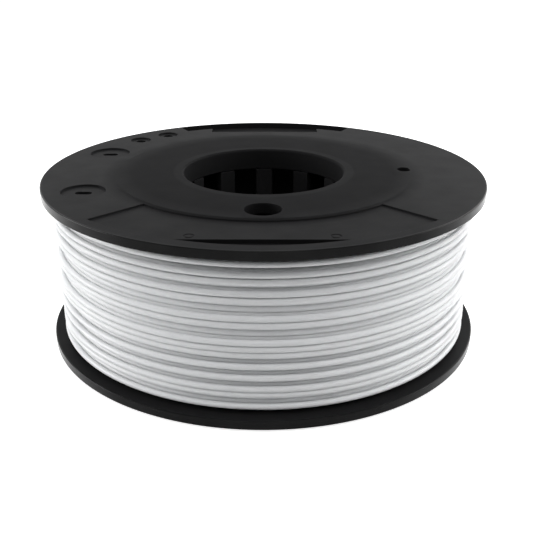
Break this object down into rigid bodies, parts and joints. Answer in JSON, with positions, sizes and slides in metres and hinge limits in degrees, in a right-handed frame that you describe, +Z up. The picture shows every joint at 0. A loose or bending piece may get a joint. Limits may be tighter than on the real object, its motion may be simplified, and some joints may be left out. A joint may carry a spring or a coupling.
{
  "type": "filament spool",
  "caption": "Filament spool: flat round flanges snapped onto a ribbed hub with an open bore, wound full with thin plastic strand.",
  "frame": {"origin": "middle of the lower flange's outer face, which the spool stands on", "axes": "+Z up along the spool's axis, -Y towards the drive hole and the sunk sector, +X to the right seen from the drive hole's side"},
  "size_m": [0.142, 0.142, 0.053],
  "materials": {
    "flange_plastic": "satin moulded plastic with a fine texture",
    "hub_plastic": "matt moulded plastic",
    "filament": "smooth drawn strand with a soft gloss"
  },
  "bodies": {
    "root": {"upper_flange": "flange_plastic", "lower_flange": "flange_plastic", "hub": "hub_plastic", "filament_inner_layers": "filament", "filament_outer_layer": "filament"}
  },
  "joints": []
}
